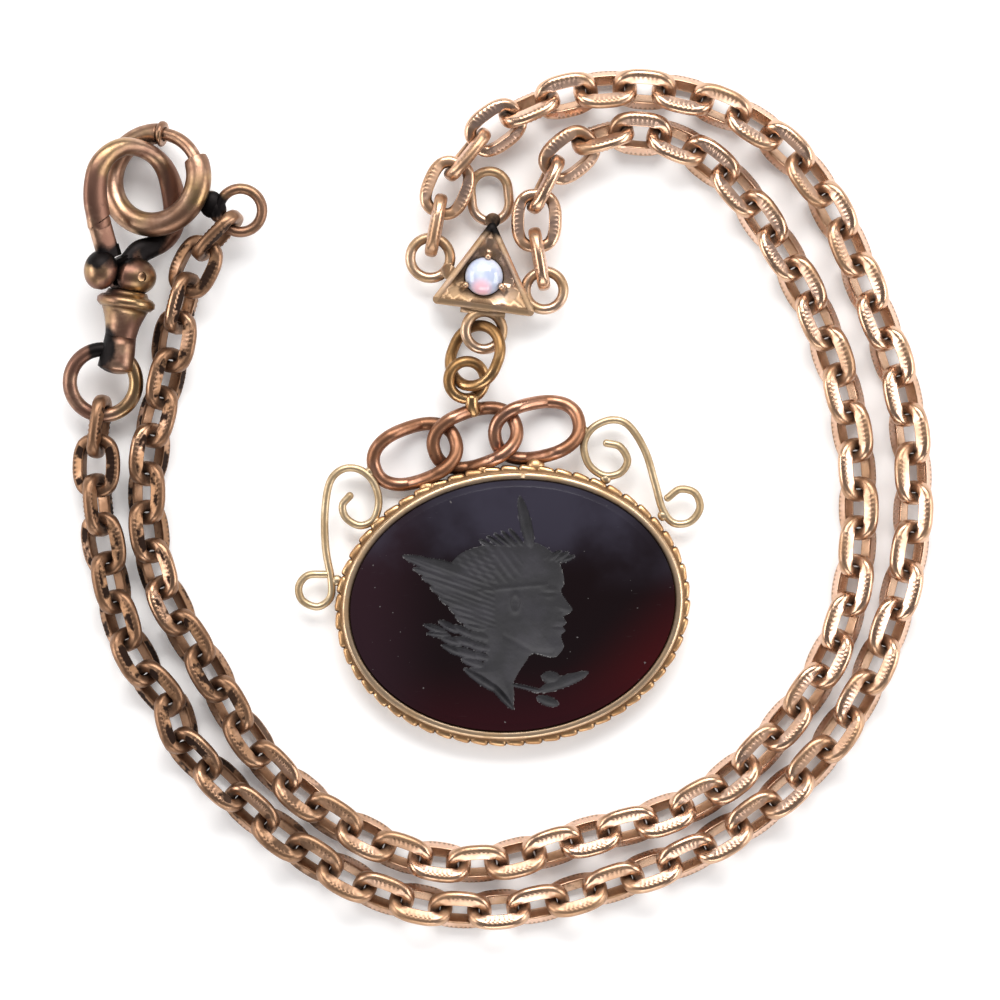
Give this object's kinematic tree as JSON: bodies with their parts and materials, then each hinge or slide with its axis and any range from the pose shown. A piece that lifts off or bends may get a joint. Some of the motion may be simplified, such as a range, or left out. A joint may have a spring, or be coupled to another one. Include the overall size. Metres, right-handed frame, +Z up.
{
  "type": "fob seal on a double watch chain",
  "caption": "Oval intaglio fob seal hung by a jump ring from the triangular station of a double curb chain with a gated swivel hook and a bolt ring, closed on itself.",
  "frame": {"origin": "middle of the seal's flat back, on the surface that the jewel lies on", "axes": "+Z up from the surface, +Y from the seal towards the station it hangs from, +X to the right seen from above"},
  "size_m": [0.0697, 0.069, 0.0057],
  "materials": {
    "setting_gold": "satin worn gold",
    "garnet_glass": "polished dark red",
    "worn_brass": "worn, golden brown",
    "rose_gold": "polished rose gold",
    "milky_stone": "polished, milky",
    "chain_gold": "polished rose gold, grime in the beading",
    "clasp_gold": "worn, dark in the hollows"
  },
  "bodies": {
    "root": {"seal_setting": "setting_gold", "seal_stone": "garnet_glass", "seal_link": "worn_brass", "station": "rose_gold", "opal": "milky_stone", "chain_outer": "chain_gold", "chain_inner": "chain_gold", "swivel_ring": "clasp_gold", "swivel_stem": "clasp_gold", "swivel_body": "clasp_gold", "gate_rivet": "clasp_gold", "bolt_ring": "clasp_gold"},
    "gate": {"gate": "clasp_gold"},
    "bolt": {"bolt": "clasp_gold"}
  },
  "joints": [
    {"name": "gate_hinge", "type": "hinge", "parent": "root", "child": "gate", "pos_m": [-0.03052, 0.02636, 0.00265], "axis": [-0.4938, 0.0782, -0.866], "range_deg": [0, 15], "stiffness_Nm_per_rad": 0.002},
    {"name": "bolt_slide", "type": "hinge", "parent": "root", "child": "bolt", "pos_m": [-0.02856, 0.03408, 0.00228], "axis": [-0.2947, 0.1567, 0.9426], "range_deg": [0, 50], "stiffness_Nm_per_rad": 0.001}
  ]
}
